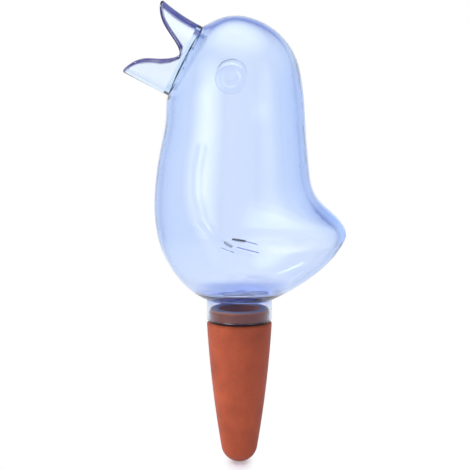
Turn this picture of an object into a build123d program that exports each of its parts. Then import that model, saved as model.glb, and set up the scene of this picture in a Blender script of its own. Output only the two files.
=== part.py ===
from build123d import *
import os
from math import atan2, cos, pi, sin

# A watering globe in the shape of a bird. The hollow bird fills through its open beak and stands
# on a hollow porous clay cone that is pushed into the soil.
# Millimetres, +Z up, beak towards -X, Z = 0 on the cone's shoulder at the soil line.

# Neck of the bird
neck_radius = 15.7
neck_wall = 1.0
neck_length = 10.1
socket_depth = 10.9
drain_radius = 7.8
neck_step = 0.4
lip_round = 0.6

# Rubber seal between the neck and the clay plug
seal_flange = 0.8
seal_flange_inset = 0.7
seal_height = 4.8
sleeve_wall = 0.5
sleeve_round = 0.2
running_gap = 0.05
seat_gap = 0.02

# Clay cone
cone_length = 69.7
cone_inset = 0.1
cone_shoulder_round = 1.6
cone_bow = 0.8
cone_tip_radius = 8.8
cone_wall = 4.0
plug_height = 6.4
plug_round = 0.8

# Walls of the blown bird: thick over the neck and along the back and breast, thinner elsewhere
wall_back = 3.5
wall_breast = 3.0
wall_crown = 2.4
wall_flank = 2.4
wall_floor = 5.0
wall_base = 2.0
wall_face = 2.2

# Raised lines of the wings and eyes: each is the top of a round bead sunk into the wall
wing_bead = 4.0
feather_bead = 2.6
eye_bead = 3.0
eye_sink = 2.82
eye_radius = 5.2
eye_x = -4.0
eye_height = 107.0

# Beak spout, measured out from the slanted face of the head
beak_length = 26.0
beak_wall = 2.3
beak_end_half_width = 10.6
beak_middle_half_width = 13.1
upper_beak_rise = 3.6
upper_beak_sag = 1.0
lower_beak_lift = 0.2
rim_round = 1.0
face_rim = 3.0
collar_length = 4.0
collar_wall = 1.6
collar_gap = 0.1

# Heights that follow from these
lip_z = seal_flange + seat_gap
base_z = lip_z + neck_length
bore_radius = neck_radius - neck_wall
base_radius = neck_radius + neck_step
sleeve_outer = bore_radius - running_gap
sleeve_inner = sleeve_outer - sleeve_wall
plug_radius = sleeve_inner - running_gap
cone_shoulder_radius = neck_radius - cone_inset

# Stations of the bird from the neck up to the face, heights above the neck:
# breast x, z, back x, z, half depth, place of the greatest depth, fullness towards the back,
# walls at the breast, the back and the flanks
ROUND = sin(pi / 4)
STATIONS = [
    (-base_radius, 0.0, base_radius, 0.0, base_radius, 0.50, ROUND, wall_floor, wall_floor, wall_floor),
    (-23.8, 4.7, 25.2, 4.7, 24.2, 0.49, 0.70, wall_base, wall_base, wall_flank),
    (-33.0, 15.4, 40.4, 15.4, 29.0, 0.46, 0.64, wall_base, wall_base, wall_flank),
    (-36.8, 22.8, 47.2, 22.8, 30.4, 0.44, 0.57, wall_flank, wall_flank, wall_flank),
    (-39.2, 30.8, 50.9, 31.0, 31.0, 0.42, 0.52, wall_breast, wall_back, wall_flank),
    (-40.3, 38.8, 47.3, 38.5, 31.2, 0.45, 0.57, wall_breast, wall_back, wall_flank),
    (-40.5, 48.3, 37.4, 48.3, 31.0, 0.49, 0.66, wall_breast, wall_back, wall_flank),
    (-39.1, 63.3, 33.0, 63.8, 30.0, 0.50, ROUND, wall_breast, wall_back, wall_flank),
    (-36.4, 77.3, 31.4, 82.3, 28.8, 0.50, ROUND, wall_breast, wall_back, wall_flank),
    (-34.8, 87.3, 29.5, 103.8, 28.0, 0.50, ROUND, wall_breast, wall_back, wall_flank),
    (-34.6, 92.6, 23.3, 121.2, 26.6, 0.50, ROUND, wall_breast, wall_crown, wall_flank),
    (-34.3, 95.3, 8.0, 132.9, 22.4, 0.50, ROUND, wall_breast, wall_crown, wall_flank),
    (-33.9, 97.3, -17.4, 129.6, 14.6, 0.50, ROUND, wall_face, wall_face, wall_face),
]
SLICES = 26
fronts = [Vector(s[0], 0, base_z + s[1]) for s in STATIONS]
backs = [Vector(s[2], 0, base_z + s[3]) for s in STATIONS]
forms = [Vector(s[4], s[5], s[6]) for s in STATIONS]
walls = [Vector(s[7], s[8], s[9]) for s in STATIONS]

# The guide curves share one measure along the bird, the mean travel of breast and back
travel = [0.0]
for i in range(1, len(STATIONS)):
    step = (fronts[i] - fronts[i - 1]).length + (backs[i] - backs[i - 1]).length
    travel.append(travel[-1] + step / 2)
travel = [t / travel[-1] for t in travel]
front_guide = Edge.make_spline(fronts, parameters=travel)
back_guide = Edge.make_spline(backs, parameters=travel)
form_guide = Edge.make_spline(forms, parameters=travel)


def at(guide, u):
    return Vector(guide.geom_adaptor().Value(u))


def rate(guide, u):
    """Change of a guide per unit of its measure."""
    low, high = max(u - 0.002, 0.0), min(u + 0.002, 1.0)
    return (at(guide, high) - at(guide, low)) * (1 / (high - low))


def wall_at(u):
    """Walls at the breast, back and flanks, straight between the stations."""
    i = max(k for k in range(len(travel) - 1) if travel[k] <= u)
    share = (u - travel[i]) / (travel[i + 1] - travel[i])
    return walls[i] + (walls[i + 1] - walls[i]) * share


def flank(front, back, depth, swell=0.5, fullness=ROUND):
    """Half an outline, from a breast point out to half the depth and in to a back point."""
    along = back - front
    belly = front + along * swell
    points = [
        front,
        front + along * swell * (1 - ROUND) - Vector(0, depth * ROUND, 0),
        belly - Vector(0, depth, 0),
        belly + along * (1 - swell) * ROUND - Vector(0, depth * fullness, 0),
        back,
    ]
    ends = [Vector(0, -pi * depth, 0), Vector(0, pi * depth * fullness / ROUND, 0)]
    return Edge.make_spline(points, tangents=ends, parameters=[0, 0.25, 0.5, 0.75, 1], scale=False)


def outline(edge):
    return Face(Wire([edge, edge.mirror(Plane.XZ)]))


def closed(edges):
    """Solid through half outlines and their mirror images, capped flat at both ends."""
    side = Shell.make_loft([Wire([e]) for e in edges]).faces()[0]
    caps = [outline(edges[0]), outline(edges[-1])]
    return Solid(Shell([side, side.mirror(Plane.XZ)] + caps))


def body(set_in):
    """The bird's shape from the neck to the face, set in by walls at the breast, back and flanks."""
    edges = []
    for k in range(SLICES + 1):
        u = k / SLICES
        front, back, form = at(front_guide, u), at(back_guide, u), at(form_guide, u)
        run, back_run = rate(front_guide, u).normalized(), rate(back_guide, u).normalized()
        across = (back - front).normalized()
        rise = (rate(front_guide, u) + rate(back_guide, u)) * 0.5
        rise = rise.dot(Vector(-across.Z, 0, across.X))
        lean = rate(form_guide, u).X / rise
        wall = set_in(u)
        front = front + Vector(run.Z, 0, -run.X) * wall.X
        back = back + Vector(-back_run.Z, 0, back_run.X) * wall.Y
        depth = form.X - wall.Z / (1 + lean**2) ** 0.5
        edges.append(flank(front, back, depth, form.Y, form.Z))
    return closed(edges)


outside = body(lambda u: Vector(0, 0, 0))
inside = body(wall_at)

# Face of the head that carries the beak
face_up = (backs[-1] - fronts[-1]).normalized()
face_out = Vector(-face_up.Z, 0, face_up.X)
face_middle = (fronts[-1] + backs[-1]) * 0.5
half_face = (backs[-1] - fronts[-1]).length / 2
half_face_width = forms[-1].X


def inset(rim, out=0.0):
    """Half outline of the face, set in by a rim and moved out along the beak."""
    shift = face_out * out
    front = fronts[-1] + face_up * rim + shift
    back = backs[-1] - face_up * rim + shift
    return flank(front, back, half_face_width - rim)


# Lines of the near wing: x, height above the neck, how far the line stands out
WING_FRONT = [
    (-19.0, 66.0, -0.5),
    (-20.3, 55.6, 0.3),
    (-20.3, 38.5, 0.45),
    (-16.5, 28.5, 0.5),
    (-10.0, 21.9, 0.8),
    (-3.7, 19.3, 1.0),
]
FEATHERS = [
    [(-2.4, 21.8, 1.1), (3.1, 20.1, 1.1), (8.7, 18.9, 1.0)],
    [(10.0, 20.6, 0.6), (14.2, 19.4, 0.4), (18.7, 20.6, -0.6)],
]


def skin(x, height):
    """Point of the near flank and the way out of it."""
    line = Axis((x, -2 * max(s[4] for s in STATIONS), base_z + height), (0, 1, 0))
    return outside.find_intersection_points(line)[0]


def wing_line(points, radius):
    """Round bead along the flank with round ends, of which the given heights stand out."""
    path = []
    for x, height, out in points:
        spot, normal = skin(x, height)
        path.append(spot - normal * (radius - out))
    path = Edge.make_spline(path)
    rod = sweep(Plane(path @ 0, z_dir=path % 0) * Circle(radius), path)
    return rod + Pos(path @ 0) * Sphere(radius) + Pos(path @ 1) * Sphere(radius)


beads = [wing_line(WING_FRONT, wing_bead)] + [wing_line(points, feather_bead) for points in FEATHERS]
spot, normal = skin(eye_x, eye_height)
beads.append(Plane(spot - normal * eye_sink, z_dir=normal) * Torus(eye_radius, eye_bead))

# Neck with a socket for the plug, closed by a thick floor that drains the bird
neck = Pos(0, 0, lip_z) * extrude(Circle(neck_radius), neck_length + neck_step)
neck = fillet(neck.edges().sort_by(Axis.Z)[0], lip_round)
bore = Pos(0, 0, lip_z) * extrude(Circle(bore_radius), socket_depth)
bore = bore + Pos(0, 0, lip_z) * extrude(Circle(drain_radius), neck_length + 2 * wall_floor)
face_hole = extrude(outline(inset(face_rim)), 2 * wall_face, dir=face_out, both=True)
bird = outside + neck
for line in beads + [b.mirror(Plane.XZ) for b in beads]:
    bird = bird + line
bird = bird - inside - bore - face_hole

# Beak: a tapered tube off the face, with a collar that plugs into the head, cut open by the mouth


def beak_section(out, low, high, half_width, wall):
    """Half outline across the beak, set in by a wall, with its low and high ends moved along the face."""
    front = fronts[-1] + face_out * out + face_up * (low + wall)
    back = backs[-1] + face_out * out + face_up * (high - wall)
    return flank(front, back, half_width - wall)


def beak_tube(wall):
    half_way = (beak_length + wall) / 2
    middle_rise = upper_beak_rise / 2 - upper_beak_sag
    middle = beak_section(half_way, lower_beak_lift / 2, middle_rise, beak_middle_half_width, wall)
    end = beak_section(beak_length, lower_beak_lift, upper_beak_rise, beak_end_half_width, wall)
    return closed([inset(wall, wall), middle, end])


beak = beak_tube(0) - beak_tube(beak_wall)
beak = beak + extrude(outline(inset(face_rim + collar_gap)), collar_length, dir=-face_out)
throat = outline(inset(face_rim + collar_gap + collar_wall, beak_wall))
beak = beak - extrude(throat, beak_wall + collar_length, dir=-face_out)

# Side outline of the open mouth, out from the face and up from its middle: the lips turn over at their tips
MOUTH = [
    (23.4, 25.0),
    (22.6, 19.2),
    (20.1, 14.7),
    (11.4, 8.3),
    (3.6, 1.8),
    (10.2, -4.5),
    (19.4, -9.2),
    (22.9, -13.8),
    (24.1, -22.0),
]
beak_side = Plane(face_middle, x_dir=face_out, z_dir=(0, 1, 0))
lips = Spline(MOUTH)
gape = Polyline(lips @ 1, (2 * beak_length, -half_face), (2 * beak_length, half_face), lips @ 0)
gape = make_face(Curve() + [lips, gape])
beak = beak - extrude(beak_side * gape, 2 * half_face_width, both=True)


def is_rim(edge):
    """An edge round the mouth, out from the face and off the middle plane."""
    reach = min((v.center() - face_middle).dot(face_out) for v in edge.vertices())
    return reach > 2 * beak_wall and abs(edge.center().Y) > rim_round


beak = fillet([e for e in beak.edges() if is_rim(e)], rim_round)

# Rubber sleeve on the plug, with a flange under the lip of the neck
seal = extrude(Circle(neck_radius - seal_flange_inset), seal_flange)
seal = seal + extrude(Circle(sleeve_outer), seal_height)
seal = seal - extrude(Circle(sleeve_inner), seal_height)
seal = fillet(seal.edges().filter_by(GeomType.CIRCLE).group_by(Axis.Z)[-1], sleeve_round)
seal = Pos(0, 0, seat_gap) * seal

# Hollow clay cone: round tip, slightly bowed side, rounded shoulder and a plug for the neck
tip_z = cone_tip_radius - cone_length
side_height = -cone_shoulder_round - tip_z
lean = atan2(cone_shoulder_radius - cone_tip_radius, side_height) + 2 * atan2(2 * cone_bow, side_height)


def spike(shoulder, tip, top):
    """Half outline of the cone below its shoulder, from the tip's pole up to the top height."""
    tangent_point = (tip * cos(lean), tip_z - tip * sin(lean))
    middle = (tip * sin(pi / 4 - lean / 2), tip_z - tip * cos(pi / 4 - lean / 2))
    end = ThreePointArc((0, tip_z - tip), middle, tangent_point)
    side = TangentArc(tangent_point, (shoulder, top), tangent=(sin(lean), cos(lean)))
    return end, side


end, side = spike(cone_shoulder_radius, cone_tip_radius, -cone_shoulder_round)
shoulder_in = cone_shoulder_radius - cone_shoulder_round
shoulder = TangentArc(side @ 1, (shoulder_in, 0), tangent=side % 1)
plug = Polyline((shoulder_in, 0), (plug_radius, 0), (plug_radius, plug_height), (0, plug_height), end @ 0)
clay = revolve(Plane.XZ * make_face(Curve() + [end, side, shoulder, plug]), Axis.Z)
end, side = spike(cone_shoulder_radius - cone_wall, cone_tip_radius - cone_wall, -cone_wall)
plug_bore = plug_radius - cone_wall
waist = Polyline(side @ 1, (plug_bore, 0), (plug_bore, plug_height), (0, plug_height), end @ 0)
clay = clay - revolve(Plane.XZ * make_face(Curve() + [end, side, waist]), Axis.Z)
clay = fillet(clay.edges().filter_by(GeomType.CIRCLE).group_by(Axis.Z)[-1], plug_round)

os.makedirs("parts", exist_ok=True)
export_step(bird, "parts/bird_reservoir.step")
export_step(beak, "parts/beak_spout.step")
export_step(seal, "parts/neck_seal.step")
export_step(clay, "parts/clay_cone.step")
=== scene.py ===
from math import cos, hypot, radians, sin

import bmesh
import bpy
import numpy as np
from mathutils import Matrix, Vector
from mathutils.geometry import interpolate_bezier


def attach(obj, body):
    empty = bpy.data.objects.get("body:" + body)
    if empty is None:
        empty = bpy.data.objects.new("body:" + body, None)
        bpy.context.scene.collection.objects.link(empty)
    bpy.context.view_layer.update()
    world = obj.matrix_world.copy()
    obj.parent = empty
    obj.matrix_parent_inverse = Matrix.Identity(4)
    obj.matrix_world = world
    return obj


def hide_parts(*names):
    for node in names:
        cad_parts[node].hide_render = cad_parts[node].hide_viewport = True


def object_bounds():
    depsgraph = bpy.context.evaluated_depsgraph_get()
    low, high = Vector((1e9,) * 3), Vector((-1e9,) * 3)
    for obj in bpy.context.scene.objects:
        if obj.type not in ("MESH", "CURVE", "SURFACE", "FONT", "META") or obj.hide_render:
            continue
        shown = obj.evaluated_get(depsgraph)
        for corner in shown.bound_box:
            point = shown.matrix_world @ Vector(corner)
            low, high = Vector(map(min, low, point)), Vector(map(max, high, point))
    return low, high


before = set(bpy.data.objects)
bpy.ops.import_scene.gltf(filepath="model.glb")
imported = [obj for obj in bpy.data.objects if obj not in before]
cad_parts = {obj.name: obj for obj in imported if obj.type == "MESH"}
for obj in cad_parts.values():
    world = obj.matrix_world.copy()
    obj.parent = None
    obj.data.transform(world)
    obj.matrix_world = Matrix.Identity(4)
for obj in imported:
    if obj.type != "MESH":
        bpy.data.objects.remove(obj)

cad_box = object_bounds()
scene = bpy.context.scene
scene.view_settings.view_transform = "Standard"

WHITE = (1, 1, 1, 1)
VALUE_OPERATIONS = ("DOT_PRODUCT", "LENGTH", "DISTANCE")
RANGE_ENDS = ("From Min", "From Max", "To Min", "To Max")


# Helpers for node trees

def bare_material(name):
    """A material with nothing in its tree but the output."""
    mat = bpy.data.materials.new(name)
    mat.use_nodes = True
    mat.node_tree.nodes.clear()
    mat.node_tree.nodes.new("ShaderNodeOutputMaterial")
    return mat


def sockets_of(mat, kind):
    """The inputs of the one node of a kind in a material."""
    return next(node for node in mat.node_tree.nodes if node.bl_idname == kind).inputs


def output_of(mat):
    """The inputs of a material's output."""
    return sockets_of(mat, "ShaderNodeOutputMaterial")


def new_material(name):
    """A material with a Principled shader wired to its output, and that shader's inputs."""
    mat = bare_material(name)
    shader = mat.node_tree.nodes.new("ShaderNodeBsdfPrincipled")
    mat.node_tree.links.new(shader.outputs["BSDF"], output_of(mat)["Surface"])
    return mat, shader.inputs


def new_group(name, inputs, outputs):
    """A node group with the sockets listed by name and kind, and the sockets that it puts out."""
    group = bpy.data.node_groups.new(name, "ShaderNodeTree")
    for direction, sockets in (("INPUT", inputs), ("OUTPUT", outputs)):
        for label, kind in sockets.items():
            group.interface.new_socket(label, in_out=direction, socket_type="NodeSocket" + kind)
    return group, group.nodes.new("NodeGroupOutput").inputs


def given_to(group):
    """The sockets that a node group is given."""
    return group.nodes.new("NodeGroupInput").outputs


def place(tree, kind, **values):
    """A node with its settings and the constants of its sockets given by name."""
    node = tree.nodes.new(kind)
    for key, value in values.items():
        if key in node.inputs:
            node.inputs[key].default_value = value
        else:
            setattr(node, key, value)
    return node


def feed(tree, value, socket):
    """Links an output to a socket, or sets a constant on it."""
    if isinstance(value, bpy.types.NodeSocket):
        tree.links.new(value, socket)
    else:
        socket.default_value = value


def maths(tree, operation, *values):
    """The result of an operation on values, each given as a constant or an output."""
    node = place(tree, "ShaderNodeMath", operation=operation)
    for value, socket in zip(values, node.inputs):
        feed(tree, value, socket)
    return node.outputs["Value"]


def vectors(tree, operation, *values):
    """The result of an operation on vectors, each given as a constant or an output."""
    node = place(tree, "ShaderNodeVectorMath", operation=operation)
    for value, socket in zip(values, node.inputs):
        feed(tree, value, socket)
    return node.outputs["Value" if operation in VALUE_OPERATIONS else "Vector"]


def combined(tree, operation, outputs):
    """Several outputs taken together, one after the other."""
    whole = outputs[0]
    for other in outputs[1:]:
        whole = maths(tree, operation, whole, other)
    return whole


def map_range(tree, value, source, target=(0.0, 1.0), smooth=False):
    """A value carried from one range to another and kept within it."""
    node = place(tree, "ShaderNodeMapRange", interpolation_type="SMOOTHSTEP" if smooth else "LINEAR")
    tree.links.new(value, node.inputs["Value"])
    for name, end in zip(RANGE_ENDS, (*source, *target)):
        feed(tree, end, node.inputs[name])
    return node.outputs["Result"]


def mix_colours(tree, share, first, second, blend="MIX"):
    """A mix of two colours, each given as a constant or an output."""
    node = place(tree, "ShaderNodeMix", data_type="RGBA", blend_type=blend)
    feed(tree, share, node.inputs["Factor"])
    feed(tree, first, node.inputs["A"])
    feed(tree, second, node.inputs["B"])
    return node.outputs["Result"]


def mix_shaders(tree, share, first, second):
    """A mix of two shaders."""
    node = tree.nodes.new("ShaderNodeMixShader")
    for value, socket in zip((share, first, second), node.inputs):
        tree.links.new(value, socket)
    return node.outputs["Shader"]


def bump(tree, height, strength, distance, under=None):
    """A normal raised by a height, over another normal where one is given."""
    node = place(tree, "ShaderNodeBump", Strength=strength)
    feed(tree, distance, node.inputs["Distance"])
    tree.links.new(height, node.inputs["Height"])
    if under is not None:
        tree.links.new(under, node.inputs["Normal"])
    return node.outputs["Normal"]


def object_spot(tree):
    """A spot in the object's own coordinates."""
    return tree.nodes.new("ShaderNodeTexCoord").outputs["Object"]


def along_axis(tree, vector, axis):
    """One axis of a vector."""
    node = tree.nodes.new("ShaderNodeSeparateXYZ")
    tree.links.new(vector, node.inputs["Vector"])
    return node.outputs[axis]


def noise(tree, spot, **values):
    """A noise over the object."""
    node = place(tree, "ShaderNodeTexNoise", **values)
    tree.links.new(spot, node.inputs["Vector"])
    return node


# Lines seen from the side, used for the lips and the wings

def curve(ends_and_handles, count):
    """Points along a smooth curve, given by its start, two handles and its end."""
    return interpolate_bezier(*[Vector(point) for point in ends_and_handles], count)


def spans_of(line):
    """The straight spans between the points of a line."""
    return list(zip(line, line[1:]))


def make_span_group():
    """Distance, looked at from the side, to the straight line between two points."""
    sockets = {"Spot": "Vector", "Start": "Vector", "Span": "Vector"}
    group, out = new_group("span_distance", sockets, {"Distance": "Float"})
    given = given_to(group)
    offset = vectors(group, "SUBTRACT", given["Spot"], given["Start"])
    along = vectors(group, "DOT_PRODUCT", offset, given["Span"])
    whole = vectors(group, "DOT_PRODUCT", given["Span"], given["Span"])
    share = maths(group, "DIVIDE", along, whole)
    share.node.use_clamp = True
    foot = vectors(group, "MULTIPLY", given["Span"], share)
    group.links.new(vectors(group, "DISTANCE", offset, foot), out["Distance"])
    return group


span_group = make_span_group()


def nearest_span(group, spot, spans):
    """Distance, looked at from the side, to the nearest of several lines given by their ends."""
    side = vectors(group, "MULTIPLY", spot, (1, 0, 1))
    distances = []
    for (x0, z0), (x1, z1) in spans:
        span = place(group, "ShaderNodeGroup", node_tree=span_group)
        span.inputs["Start"].default_value = (x0, 0, z0)
        span.inputs["Span"].default_value = (x1 - x0, 0, z1 - z0)
        group.links.new(side, span.inputs["Spot"])
        distances.append(span.outputs["Distance"])
    return combined(group, "MINIMUM", distances)


# Waviness of a blown or moulded clear plastic skin, shared by the bird and the beak
WAVE_STRENGTH = 0.35
SMEAR_SCALE = 70.0


def make_skin_group():
    """Normal and roughness of a wavy, faintly smeared skin."""
    sockets = {"Waves": "Float", "Depth": "Float", "Smoothest": "Float", "Roughest": "Float"}
    group, out = new_group("plastic_skin", sockets, {"Roughness": "Float", "Normal": "Vector"})
    given = given_to(group)
    spot = object_spot(group)
    wave = noise(group, spot, Detail=2.0, Roughness=0.5)
    smear = noise(group, spot, Scale=SMEAR_SCALE, Detail=4.0, Roughness=0.6)
    group.links.new(given["Waves"], wave.inputs["Scale"])
    rough = map_range(group, smear.outputs["Fac"], (0.0, 1.0), (given["Smoothest"], given["Roughest"]))
    group.links.new(rough, out["Roughness"])
    group.links.new(bump(group, wave.outputs["Fac"], WAVE_STRENGTH, given["Depth"]), out["Normal"])
    return group


skin_group = make_skin_group()
PLASTIC_IOR = 1.5


def clear_plastic(name, colour_group, absorb, density, waves, depth, smoothest, roughest):
    """Transparent plastic with a wavy skin; its colour deepens with the thickness looked through."""
    mat, shader = new_material(name)
    tree = mat.node_tree
    shader["IOR"].default_value = PLASTIC_IOR
    shader["Transmission Weight"].default_value = 1.0
    colour = place(tree, "ShaderNodeGroup", node_tree=colour_group)
    skin = place(
        tree, "ShaderNodeGroup", node_tree=skin_group,
        Waves=waves, Depth=depth, Smoothest=smoothest, Roughest=roughest,
    )
    volume = place(tree, "ShaderNodeVolumeAbsorption", Color=absorb, Density=density)
    tree.links.new(colour.outputs["Color"], shader["Base Color"])
    tree.links.new(skin.outputs["Roughness"], shader["Roughness"])
    tree.links.new(skin.outputs["Normal"], shader["Normal"])
    tree.links.new(volume.outputs["Volume"], output_of(mat)["Volume"])
    return mat


# Lips of the open beak, seen from its side: x and z of the ends and handles of both lips and of the corner of
# the mouth between them, and of the ridge on the upper beak; the painted shade along these lines, for the dark
# edge that the light gives the plastic there, and the distances from them between which it fades
UPPER_LIP = [(-0.0352, 0.1573), (-0.0409, 0.1461), (-0.0330, 0.1395), (-0.0281, 0.1308)]
MOUTH_CORNER = [(-0.0285, 0.1270), (-0.0323, 0.1254)]
LOWER_LIP = [(-0.0364, 0.1249), (-0.0447, 0.1260), (-0.0533, 0.1258), (-0.0572, 0.1156)]
LIP_POINTS = 12
CREST = [(-0.0174, 0.1405), (-0.0286, 0.1471), (-0.0389, 0.1556)]
LIP_PAINTED_SHADE = (0.07, 0.06, 0.27, 1)
LIP_FADE = (0.0007, 0.0017)


def make_lip_shade_group():
    """Colour of the beak: clear, with painted shade along the lips and the ridge, where the light runs down
    into the wall.
    """
    group, out = new_group("lip_painted_shade", {}, {"Color": "Color"})
    lips = [*curve(UPPER_LIP, LIP_POINTS), *MOUTH_CORNER, *curve(LOWER_LIP, LIP_POINTS)]
    nearest = nearest_span(group, object_spot(group), spans_of(lips) + spans_of(CREST))
    clear = map_range(group, nearest, LIP_FADE, smooth=True)
    # The beak's colour turns to painted shade near the lips and the ridge
    group.links.new(mix_colours(group, clear, LIP_PAINTED_SHADE, WHITE), out["Color"])
    return group


# Root of the neck, with a deeper blue painted in as shade: its height, how far that painted shade reaches along
# x, y and z, the share of that reach at which it starts to fade, and the painted blue itself
ROOT_Z = 0.0135
ROOT_REACH = (0.030, 0.030, 0.0075)
ROOT_FULL = 0.45
ROOT_PAINTED_SHADE = (0.56, 0.62, 0.94, 1)


def make_root_shade_group():
    """Colour of the bird: clear, with a painted blue shade round the root of the neck."""
    group, out = new_group("root_painted_shade", {}, {"Color": "Color"})
    offset = vectors(group, "SUBTRACT", object_spot(group), (0, 0, ROOT_Z))
    share = vectors(group, "LENGTH", vectors(group, "DIVIDE", offset, ROOT_REACH))
    clear = map_range(group, share, (ROOT_FULL, 1.0), smooth=True)
    # The bird's colour turns to a painted blue shade round the root of the neck
    group.links.new(mix_colours(group, clear, ROOT_PAINTED_SHADE, WHITE), out["Color"])
    return group


# Both plastics deepen with the depth of plastic looked through: pale over the thin walls, blue round the edges
blue_plastic = clear_plastic(
    "blue_clear_plastic", make_root_shade_group(), absorb=(0.03, 0.41, 0.98, 1), density=90.0,
    waves=45.0, depth=0.00015, smoothest=0.05, roughest=0.09,
)
beak_plastic = clear_plastic(
    "beak_clear_plastic", make_lip_shade_group(), absorb=(0.06, 0.54, 0.98, 1), density=50.0,
    waves=60.0, depth=0.0001, smoothest=0.01, roughest=0.04,
)

# Relief of the wings, seen from the side: x and z along the soft front edge and of both ends of each feather
# mark, with the half width of each kind, its share of the relief's height and whether it is on both flanks.
# The photo shows feather marks on the near flank alone, although the far one is seen through the bird
WING_FRONT = [
    (-0.0172, 0.0859), (-0.0193, 0.0749), (-0.0194, 0.0643),
    (-0.0166, 0.0525), (-0.0090, 0.0424), (-0.0045, 0.0399),
]
FEATHER_MARKS = [
    ((-0.0066, 0.0425), (-0.0039, 0.0408)),
    ((-0.0028, 0.0441), (0.0022, 0.0431)),
]
FAINT_MARKS = [
    ((-0.0088, 0.0439), (-0.0066, 0.0425)),
    ((0.0022, 0.0431), (0.0078, 0.0413)),
    ((-0.0080, 0.0400), (-0.0030, 0.0380)),
    ((-0.0010, 0.0402), (0.0085, 0.0374)),
]
RELIEF_KINDS = [
    (spans_of(WING_FRONT), 0.0030, 0.40, True),
    (FEATHER_MARKS, 0.0008, 1.0, False),
    (FAINT_MARKS, 0.0008, 0.4, False),
]
RELIEF_HEIGHT = 0.0006
FLANK_LEAST_Y = 0.0185


def make_relief_group():
    """Height of the wings' relief on the flanks."""
    group, out = new_group("wing_relief", {}, {"Height": "Float"})
    spot = object_spot(group)
    across = along_axis(group, spot, "Y")
    near_side = maths(group, "MULTIPLY", across, -1.0)
    either_side = maths(group, "ABSOLUTE", across)
    heights = []
    for spans, half_width, rise, both_flanks in RELIEF_KINDS:
        nearest = nearest_span(group, spot, spans)
        ridge = map_range(group, nearest, (0.0, half_width), (rise, 0.0), smooth=True)
        on_flank = maths(group, "GREATER_THAN", either_side if both_flanks else near_side, FLANK_LEAST_Y)
        heights.append(maths(group, "MULTIPLY", ridge, on_flank))
    group.links.new(combined(group, "MAXIMUM", heights), out["Height"])
    return group


def add_relief(mat):
    """Lays the wings' relief over a plastic's wavy skin."""
    tree = mat.node_tree
    normal = sockets_of(mat, "ShaderNodeBsdfPrincipled")["Normal"]
    wings = place(tree, "ShaderNodeGroup", node_tree=make_relief_group())
    skin = normal.links[0].from_socket
    raised = bump(tree, wings.outputs["Height"], strength=1.0, distance=RELIEF_HEIGHT, under=skin)
    tree.links.new(raised, normal)


add_relief(blue_plastic)

# Clay: its darkest and palest tone with their places on the ramp, the brighter, warmer tone painted on the plug
# in the blue neck as painted light and the paler tone of its top, with the heights between which each comes in,
# and its grit, pores and roughness
CLAY_TONES = [(0.3, (0.34, 0.056, 0.014, 1)), (0.72, (0.50, 0.091, 0.025, 1))]
PLUG_PAINTED_LIGHT = (0.95, 0.26, 0.05, 1)
PLUG_FROM_Z = (0.0010, 0.0016)
PALE_TOP_CLAY = (0.90, 0.72, 0.74, 1)
PALE_TOP_FROM_Z = (0.0056, 0.0063)
GRIT_SHARE = 0.3
GRIT_STRENGTH = 0.4
PORE_REACH = 0.22
PORE_STRENGTH = 0.25
GRAIN_HEIGHT = 0.0002
CLAY_ROUGHNESS = (0.62, 0.82)


def make_terracotta():
    """Unglazed fired clay: a mottled body, fine grit and open pores, with painted light on its plug and a paler
    top on that plug.
    """
    mat, shader = new_material("terracotta")
    tree = mat.node_tree
    link = tree.links.new
    spot = object_spot(tree)
    cloud = noise(tree, spot, Scale=90.0, Detail=5.0, Roughness=0.6)
    grit = noise(tree, spot, Scale=900.0, Detail=3.0, Roughness=0.7)
    pores = place(tree, "ShaderNodeTexVoronoi", Scale=520.0)
    link(spot, pores.inputs["Vector"])
    body = tree.nodes.new("ShaderNodeValToRGB")
    for element, (position, tone) in zip(body.color_ramp.elements, CLAY_TONES):
        element.position = position
        element.color = tone
    link(cloud.outputs["Fac"], body.inputs["Fac"])
    height = along_axis(tree, spot, "Z")
    # The plug in the neck gets a brighter, warmer tone: painted light, for the light the plastic round it keeps
    # off
    clay = mix_colours(tree, map_range(tree, height, PLUG_FROM_Z), body.outputs["Color"], PLUG_PAINTED_LIGHT)
    # Paler towards the top of the plug
    pale_topped = mix_colours(tree, map_range(tree, height, PALE_TOP_FROM_Z), clay, PALE_TOP_CLAY)
    speckled = mix_colours(tree, GRIT_SHARE, pale_topped, grit.outputs["Color"], blend="MULTIPLY")
    link(speckled, shader["Base Color"])
    link(map_range(tree, grit.outputs["Fac"], (0.0, 1.0), CLAY_ROUGHNESS), shader["Roughness"])
    off_pores = map_range(tree, pores.outputs["Distance"], (0.0, PORE_REACH))
    pitted = bump(tree, off_pores, PORE_STRENGTH, GRAIN_HEIGHT)
    gritty = bump(tree, grit.outputs["Fac"], GRIT_STRENGTH, GRAIN_HEIGHT, under=pitted)
    link(gritty, shader["Normal"])
    shader["Sheen Weight"].default_value = 0.12
    shader["Sheen Roughness"].default_value = 0.4
    return mat


# Rubber of the seal: the painted shade on its flange, dark as the seam between the neck and the cone, the tone
# of the sleeve, and the heights between which they meet
FLANGE_PAINTED_SHADE = (0.10, 0.045, 0.04, 1)
SLEEVE_TONE = (0.97, 0.84, 0.70, 1)
SLEEVE_FROM_Z = (0.0009, 0.0014)
RUBBER_ROUGHNESS = (0.08, 0.2)
RUBBER_IOR = 1.41


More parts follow.
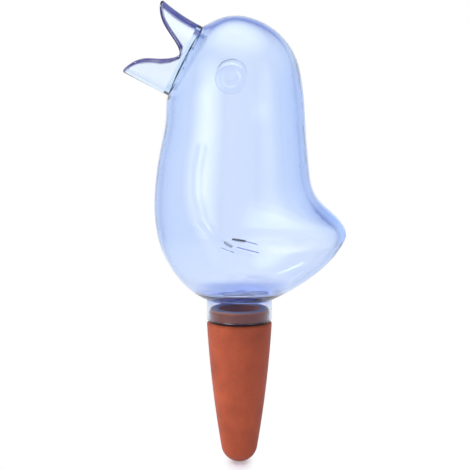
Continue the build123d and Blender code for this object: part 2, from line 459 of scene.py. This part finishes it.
def make_seal_rubber():
    """Translucent silicone with a satin, faintly dusty skin, with painted shade on the flange below the neck.
    """
    mat, shader = new_material("clear_rubber")
    tree = mat.node_tree
    spot = object_spot(tree)
    dust = noise(tree, spot, Scale=400.0, Detail=3.0)
    in_neck = map_range(tree, along_axis(tree, spot, "Z"), SLEEVE_FROM_Z)
    # The flange below the neck carries painted shade, dark as the seam between the neck and the cone
    tree.links.new(mix_colours(tree, in_neck, FLANGE_PAINTED_SHADE, SLEEVE_TONE), shader["Base Color"])
    tree.links.new(map_range(tree, dust.outputs["Fac"], (0.0, 1.0), RUBBER_ROUGHNESS), shader["Roughness"])
    shader["IOR"].default_value = RUBBER_IOR
    shader["Specular IOR Level"].default_value = 0.2
    shader["Transmission Weight"].default_value = 1.0
    return mat


def dress(node, mat):
    """Gives a CAD node its finish."""
    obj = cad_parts[node]
    obj.data.materials.clear()
    obj.data.materials.append(mat)


dress("beak_spout", beak_plastic)
dress("neck_seal", make_seal_rubber())
dress("clay_cone", make_terracotta())

# The bird's inner floor runs down to its drain like a funnel: how far it drops at the drain, the radii between
# which the drop fades out, the radius within which all of the floor drops, the heights between which the floor
# lies, and how far up a part of it faces at least outside that radius
FUNNEL_DROP = 0.0024
FUNNEL_INNER = 0.012
FUNNEL_OUTER = 0.030
NECK_RADIUS = 0.0157
FLOOR_LEAST_Z = 0.0145
FLOOR_MOST_Z = 0.027
FLOOR_LEAST_FACING = 0.05
LEAST_REACH = 1e-9


def funnel_drop(x, y):
    """How far the inner floor drops at a spot, fading smoothly outwards, and the slope of that drop."""
    reach = hypot(x, y)
    width = FUNNEL_OUTER - FUNNEL_INNER
    share = min(max((reach - FUNNEL_INNER) / width, 0.0), 1.0)
    drop = FUNNEL_DROP * (1 - share * share * (3 - 2 * share))
    steep = -FUNNEL_DROP * 6 * share * (1 - share) / width
    return drop, steep * x / max(reach, LEAST_REACH), steep * y / max(reach, LEAST_REACH)


def sink_floor(bm, facing_up):
    """Draws the inner floor down to the drain; gives the slopes of the drop where it moved."""
    slopes = {}
    for vert in bm.verts:
        x, y, z = vert.co
        reach = hypot(x, y)
        in_floor = FLOOR_LEAST_Z < z < FLOOR_MOST_Z and reach < FUNNEL_OUTER
        if in_floor and (facing_up[vert.index] > FLOOR_LEAST_FACING or reach < NECK_RADIUS):
            drop, along_x, along_y = funnel_drop(x, y)
            vert.co.z -= drop
            slopes[vert.index] = (along_x, along_y)
    return slopes


# Raised lines of the solid's wing, seen from the side, and how far they reach
SOLID_MARKS = [
    [
        (-0.0190, 0.0769), (-0.0203, 0.0665), (-0.0203, 0.0494),
        (-0.0165, 0.0394), (-0.0100, 0.0328), (-0.0037, 0.0302),
    ],
    [(-0.0024, 0.0327), (0.0031, 0.0310), (0.0087, 0.0298)],
    [(0.0100, 0.0315), (0.0142, 0.0303), (0.0187, 0.0315)],
]
SOLID_MARK_REACH = 0.0045

# The flank round them: its middle height, its half length and half height, how far sideways it faces at least,
# and the highest power of the smooth form fitted to it
FLANK_MIDDLE_Z = 0.052
FLANK_HALF = (0.026, 0.034)
FLANK_LEAST_FACING = 0.3
FLANK_DEGREE = 6


def off_solid_marks(x, z):
    """Distance, looked at from the side, to the nearest raised line of the solid's wing."""
    spot = Vector((x, z))
    distances = []
    for line in SOLID_MARKS:
        for start, end in spans_of(line):
            span = Vector(end) - Vector(start)
            share = min(max((spot - Vector(start)).dot(span) / span.length_squared, 0.0), 1.0)
            distances.append((spot - Vector(start) - span * share).length)
    return min(distances)


def flank_terms(x, z, slope_along=None):
    """The powers of x and z that describe a flank, or their slope along x or z."""
    u = x / FLANK_HALF[0]
    v = (z - FLANK_MIDDLE_Z) / FLANK_HALF[1]
    terms = []
    for i in range(FLANK_DEGREE + 1):
        for j in range(FLANK_DEGREE + 1 - i):
            if slope_along == "x":
                terms.append(i * u ** max(i - 1, 0) * v ** j / FLANK_HALF[0])
            elif slope_along == "z":
                terms.append(j * u ** i * v ** max(j - 1, 0) / FLANK_HALF[1])
            else:
                terms.append(u ** i * v ** j)
    return terms


def smooth_flanks(bm, normal_of):
    """Takes the wing's lines off, so that the outside follows the flank round them; gives the new normals."""
    plain, marked = [], []
    for vert in bm.verts:
        x, y, z = vert.co
        sideways = normal_of[vert.index].y
        outside = sideways * y > 0 and abs(sideways) > FLANK_LEAST_FACING
        if outside and abs(x) < FLANK_HALF[0] and abs(z - FLANK_MIDDLE_Z) < FLANK_HALF[1]:
            kind = marked if off_solid_marks(x, z) < SOLID_MARK_REACH else plain
            kind.append(vert)
    rows = np.array([flank_terms(vert.co.x, vert.co.z) for vert in plain])
    depths = np.array([abs(vert.co.y) for vert in plain])
    fit = np.linalg.lstsq(rows, depths, rcond=None)[0]
    turned = {}
    for vert in marked:
        x, y, z = vert.co
        way = 1.0 if y > 0 else -1.0
        slope_x = float(np.dot(flank_terms(x, z, "x"), fit))
        slope_z = float(np.dot(flank_terms(x, z, "z"), fit))
        vert.co.y = way * float(np.dot(flank_terms(x, z), fit))
        turned[vert.index] = Vector((-slope_x, way, -slope_z)).normalized()
    return turned


def make_bird(cad):
    """The CAD's bird with the wing's lines taken off, because the material has them as relief, and with its
    inner floor drawn down to the drain."""
    normals = [Vector(normal.vector) for normal in cad.data.corner_normals]
    corners = [corner.vertex_index for corner in cad.data.loops]
    normal_of = dict(zip(corners, normals))
    facing_up = {}
    for vertex, normal in zip(corners, normals):
        facing_up[vertex] = max(facing_up.get(vertex, -1.0), normal.z)
    mesh = bpy.data.meshes.new("bird_shell")
    bm = bmesh.new()
    bm.from_mesh(cad.data)
    turned = smooth_flanks(bm, normal_of)
    slopes = sink_floor(bm, facing_up)
    bm.to_mesh(mesh)
    bm.free()
    for corner, vertex in enumerate(corners):
        if vertex in slopes:
            along_x, along_y = slopes[vertex]
            x, y, z = normals[corner]
            normals[corner] = Vector((x + along_x * z, y + along_y * z, z)).normalized()
        if vertex in turned:
            normals[corner] = turned[vertex]
    mesh.normals_split_custom_set(normals)
    mesh.materials.append(blue_plastic)
    obj = bpy.data.objects.new("bird_shell", mesh)
    scene.collection.objects.link(obj)
    return obj


bird_shell = make_bird(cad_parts["bird_reservoir"])
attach(bird_shell, "bird")
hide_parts("bird_reservoir")


# Stage: white paper floor, soft cards, lamps and the studio round them

def make_plane(name, size):
    """A flat stage piece round its own origin."""
    mesh = bpy.data.meshes.new(name)
    bm = bmesh.new()
    bmesh.ops.create_grid(bm, x_segments=1, y_segments=1, size=0.5)
    bmesh.ops.scale(bm, vec=(size[0], size[1], 1), verts=bm.verts)
    bm.to_mesh(mesh)
    bm.free()
    obj = bpy.data.objects.new(name, mesh)
    scene.collection.objects.link(obj)
    return obj


def facing(spot, away):
    """A placement at a spot, looking against the direction given."""
    return Matrix.Translation(spot) @ away.to_track_quat("Z", "Y").to_matrix().to_4x4()


def shown_by_ray(tree):
    """Masks of the rays that see a surface straight, and of those that see it in or through something."""
    path = tree.nodes.new("ShaderNodeLightPath").outputs
    return path["Is Camera Ray"], maths(tree, "MAXIMUM", path["Is Glossy Ray"], path["Is Transmission Ray"])


# Brightness of the studio from the front (0) to the back (1), with how much green and blue a dimmer part keeps;
# the tone of its ceiling, and how steeply up the ceiling starts and is full
SURROUND_LEVELS = [(0.0, 0.22), (0.3, 0.3), (0.5, 0.46), (0.75, 0.7), (0.9, 0.94), (0.97, 1.08), (1.0, 1.1)]
DIM_GREEN = 0.04
DIM_BLUE = 0.4
CEILING_TONE = (0.36, 0.39, 0.66, 1)
CEILING_RISE = (0.1, 0.6)


def make_surround_group():
    """Colour of the studio by direction: white behind the object, dimmer aside, overhead and in front."""
    group, out = new_group("studio_surround", {"Direction": "Vector"}, {"Color": "Color"})
    given = given_to(group)
    level = vectors(group, "NORMALIZE", vectors(group, "MULTIPLY", given["Direction"], (1, 1, 0)))
    back = map_range(group, along_axis(group, level, "Y"), (-1.0, 1.0))
    levels = group.nodes.new("ShaderNodeValToRGB")
    ramp = levels.color_ramp.elements
    while len(ramp) < len(SURROUND_LEVELS):
        ramp.new(1.0)
    for element, (position, brightness) in zip(ramp, SURROUND_LEVELS):
        dim = max(1.0 - brightness, 0.0)
        element.position = position
        element.color = (brightness, brightness + DIM_GREEN * dim, brightness + DIM_BLUE * dim, 1)
    group.links.new(back, levels.inputs["Fac"])
    rise = along_axis(group, vectors(group, "NORMALIZE", given["Direction"]), "Z")
    ceiling = map_range(group, rise, CEILING_RISE, smooth=True)
    colour = mix_colours(group, ceiling, levels.outputs["Color"], CEILING_TONE, blend="MULTIPLY")
    group.links.new(colour, out["Color"])
    return group


surround_group = make_surround_group()


def surround_colour(tree, direction):
    """Colour of the studio in a direction."""
    node = place(tree, "ShaderNodeGroup", node_tree=surround_group)
    tree.links.new(direction, node.inputs["Direction"])
    return node.outputs["Color"]


# Floor: the lavender tone of the paper, shown only round the tip as a painted tint of the contact shadow, that
# of the paper close by as the plastic shows it, and the distances between which it turns into the studio; the
# half size of the contact shadow, partly real and partly painted shade, the shares of it between which it
# fades, and how much plain white it has at its middle and at its edge
FLOOR_SIZE = (24.0, 24.0)
FLOOR_GAP = 0.0003
SHADOW_TINTED_PAPER = (0.88, 0.78, 0.93, 1)
NEAR_PAPER = (0.9, 0.92, 0.98, 1)
NEAR_FADE = (0.1, 0.5)
SHADOW_HALF = (0.008, 0.03, 1.0)
SHADOW_FADE = (0.2, 1.0)
SHADOW_WHITE = (0.3, 1.0)


def paper_finish():
    """White paper that keeps the contact shadow, real and with a painted lavender tint round the tip; clear
    plastic shows it as the studio's surroundings.
    """
    mat = bare_material("floor_paper")
    tree = mat.node_tree
    spot = object_spot(tree)
    # Round the tip the lavender paper shows through the white: real shadow with a painted shadow tint
    paper = place(tree, "ShaderNodeBsdfDiffuse", Color=SHADOW_TINTED_PAPER)
    seen = place(tree, "ShaderNodeEmission", Color=WHITE)
    behind = tree.nodes.new("ShaderNodeEmission")
    far_off = map_range(tree, vectors(tree, "LENGTH", spot), NEAR_FADE, smooth=True)
    around = mix_colours(tree, far_off, NEAR_PAPER, surround_colour(tree, spot))
    tree.links.new(around, behind.inputs["Color"])
    reach = vectors(tree, "LENGTH", vectors(tree, "DIVIDE", spot, SHADOW_HALF))
    open_floor = map_range(tree, reach, SHADOW_FADE, SHADOW_WHITE, smooth=True)
    straight, through = shown_by_ray(tree)
    white = maths(tree, "MULTIPLY", straight, open_floor)
    shadowed = mix_shaders(tree, white, paper.outputs["BSDF"], seen.outputs["Emission"])
    whole = mix_shaders(tree, through, shadowed, behind.outputs["Emission"])
    tree.links.new(whole, output_of(mat)["Surface"])
    return mat


floor = make_plane("floor", FLOOR_SIZE)
floor.location = (0, 0, cad_box[0][2] - FLOOR_GAP)
floor.data.materials.append(paper_finish())

# What the cards and the upper lamp face, and what the fill lamp faces
BODY_MIDDLE = (0.0, 0.0, 0.06)
CONE_MIDDLE = (0.0, 0.0, -0.05)


def soft_card(name, size, spot, level):
    """A large glowing card that faces the bird and fades out towards its edges."""
    mat = bare_material(name)
    tree = mat.node_tree
    glow = place(tree, "ShaderNodeEmission", Color=WHITE)
    ball = place(tree, "ShaderNodeTexGradient", gradient_type="SPHERICAL")
    share = vectors(tree, "MULTIPLY", object_spot(tree), (2 / size[0], 2 / size[1], 1))
    tree.links.new(share, ball.inputs["Vector"])
    strength = map_range(tree, ball.outputs["Fac"], (0.0, 1.0), (0.0, level), smooth=True)
    tree.links.new(strength, glow.inputs["Strength"])
    tree.links.new(glow.outputs["Emission"], output_of(mat)["Surface"])
    card = make_plane(name, size)
    card.matrix_world = facing(spot, Vector(spot) - Vector(BODY_MIDDLE))
    card.data.materials.append(mat)
    card.visible_camera = False
    card.visible_shadow = False
    return card


soft_card("left_card", size=(1.1, 1.7), spot=(-0.62, -0.66, 0.2), level=3.6)
soft_card("right_card", size=(0.8, 1.4), spot=(0.75, -0.6, 0.2), level=1.2)
top_card = soft_card("top_card", size=(1.8, 1.6), spot=(0.0, -0.1, 0.95), level=5.0)
top_card.visible_transmission = False


def lamp(name, size, spot, aim, power, mirrored):
    """A round lamp; one that isn't mirrored lights matt surfaces only."""
    light = bpy.data.lights.new(name, "AREA")
    light.shape = "DISK"
    light.size = size
    light.energy = power
    obj = bpy.data.objects.new(name, light)
    scene.collection.objects.link(obj)
    obj.matrix_world = facing(spot, Vector(spot) - Vector(aim))
    obj.visible_glossy = mirrored
    obj.visible_transmission = mirrored


lamp("upper_left_lamp", size=0.1, spot=(-0.6, 0.28, 0.62), aim=BODY_MIDDLE, power=1.2, mirrored=True)
lamp("left_fill", size=0.4, spot=(-0.69, -0.12, -0.03), aim=CONE_MIDDLE, power=2.6, mirrored=False)

# Even light of the studio on matt surfaces
AMBIENT_TONE = (0.97, 0.98, 1.0, 1)
AMBIENT_LEVEL = 0.58


def make_world():
    """The studio: even light on matt surfaces, white to the camera, and its surroundings in clear plastic."""
    world = bpy.data.worlds.new("studio")
    world.use_nodes = True
    tree = world.node_tree
    tree.nodes.clear()
    out = tree.nodes.new("ShaderNodeOutputWorld")
    ambient = place(tree, "ShaderNodeBackground", Color=AMBIENT_TONE, Strength=AMBIENT_LEVEL)
    backdrop = place(tree, "ShaderNodeBackground", Color=WHITE)
    around = tree.nodes.new("ShaderNodeBackground")
    heading = tree.nodes.new("ShaderNodeTexCoord").outputs["Generated"]
    tree.links.new(surround_colour(tree, heading), around.inputs["Color"])
    straight, through = shown_by_ray(tree)
    plain = mix_shaders(tree, straight, ambient.outputs["Background"], backdrop.outputs["Background"])
    whole = mix_shaders(tree, through, plain, around.outputs["Background"])
    tree.links.new(whole, out.inputs["Surface"])
    return world


scene.world = make_world()

# Camera: straight on the bird's side, a little above it
SENSOR_WIDTH = 36.0
VIEW_WIDTH = 0.2247
VIEW_DISTANCE = 0.8
VIEW_RISE = radians(8.5)
LOOK_AT = Vector((-0.0021, 0.0, 0.0416))
camera = bpy.data.objects.new("camera", bpy.data.cameras.new("camera"))
scene.collection.objects.link(camera)
camera.data.sensor_width = SENSOR_WIDTH
camera.data.lens = SENSOR_WIDTH * VIEW_DISTANCE / VIEW_WIDTH
towards = Vector((0, -cos(VIEW_RISE), sin(VIEW_RISE)))
camera.matrix_world = facing(LOOK_AT + towards * VIEW_DISTANCE, towards)
scene.camera = camera
